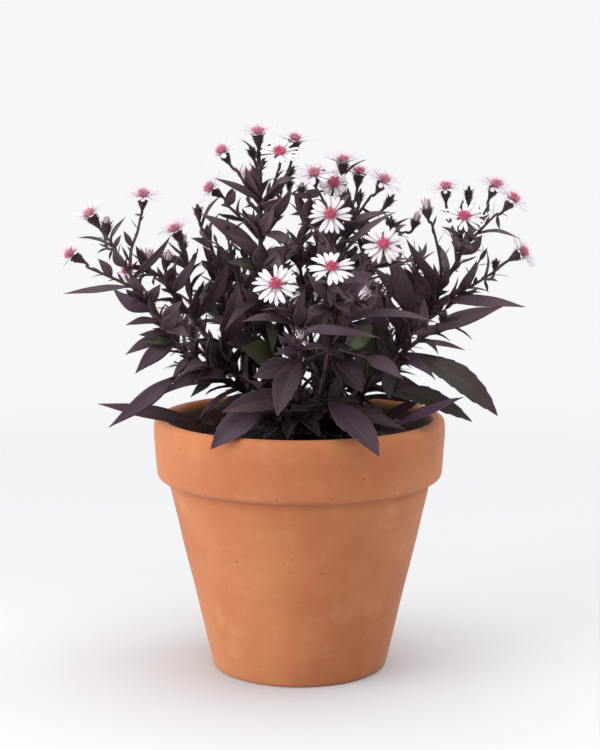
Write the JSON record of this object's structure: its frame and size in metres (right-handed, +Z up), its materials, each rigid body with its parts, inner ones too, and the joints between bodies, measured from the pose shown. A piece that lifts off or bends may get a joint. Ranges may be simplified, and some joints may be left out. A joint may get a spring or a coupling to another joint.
{
  "type": "potted calico aster",
  "caption": "Bushy dark-leaved aster with small white daisies and raspberry discs, growing in a plain terracotta pot.",
  "frame": {"origin": "middle of the pot's underside", "axes": "+Z up along the pot's axis, -Y towards the plant's front"},
  "size_m": [0.1904, 0.1465, 0.2255],
  "materials": {
    "terracotta": "matte",
    "soil": "matte",
    "foliage": "satin",
    "ray_petals": "matte",
    "disc_florets": "matte"
  },
  "bodies": {
    "root": {"pot": "terracotta", "soil": "soil", "stem_left_low": "foliage", "stem_left_inner": "foliage", "stem_crown_left": "foliage", "stem_crown_right": "foliage", "stem_front": "foliage", "stem_front_low": "foliage", "stem_right_inner": "foliage", "stem_right_low": "foliage", "stem_back_left": "foliage", "stem_back_right": "foliage", "bloom_01_rays": "ray_petals", "bloom_02_rays": "ray_petals", "bloom_03_rays": "ray_petals", "bloom_04_rays": "ray_petals", "bloom_05_rays": "ray_petals", "bloom_06_rays": "ray_petals", "bloom_07_rays": "ray_petals", "bloom_08_rays": "ray_petals", "bloom_09_rays": "ray_petals", "bloom_10_rays": "ray_petals", "bloom_11_rays": "ray_petals", "bloom_12_rays": "ray_petals", "bloom_13_rays": "ray_petals", "bloom_14_rays": "ray_petals", "bloom_15_rays": "ray_petals", "bloom_16_rays": "ray_petals", "bloom_17_rays": "ray_petals", "bloom_18_rays": "ray_petals", "bloom_19_rays": "ray_petals", "bloom_20_rays": "ray_petals", "bloom_21_rays": "ray_petals", "bloom_22_rays": "ray_petals", "bloom_23_rays": "ray_petals", "bloom_24_rays": "ray_petals", "bloom_01_disc": "disc_florets", "bloom_02_disc": "disc_florets", "bloom_03_disc": "disc_florets", "bloom_04_disc": "disc_florets", "bloom_05_disc": "disc_florets", "bloom_06_disc": "disc_florets", "bloom_07_disc": "disc_florets", "bloom_08_disc": "disc_florets", "bloom_09_disc": "disc_florets", "bloom_10_disc": "disc_florets", "bloom_11_disc": "disc_florets", "bloom_12_disc": "disc_florets", "bloom_13_disc": "disc_florets", "bloom_14_disc": "disc_florets", "bloom_15_disc": "disc_florets", "bloom_16_disc": "disc_florets", "bloom_17_disc": "disc_florets", "bloom_18_disc": "disc_florets", "bloom_19_disc": "disc_florets", "bloom_20_disc": "disc_florets", "bloom_21_disc": "disc_florets", "bloom_22_disc": "disc_florets", "bloom_23_disc": "disc_florets", "bloom_24_disc": "disc_florets"}
  },
  "joints": []
}
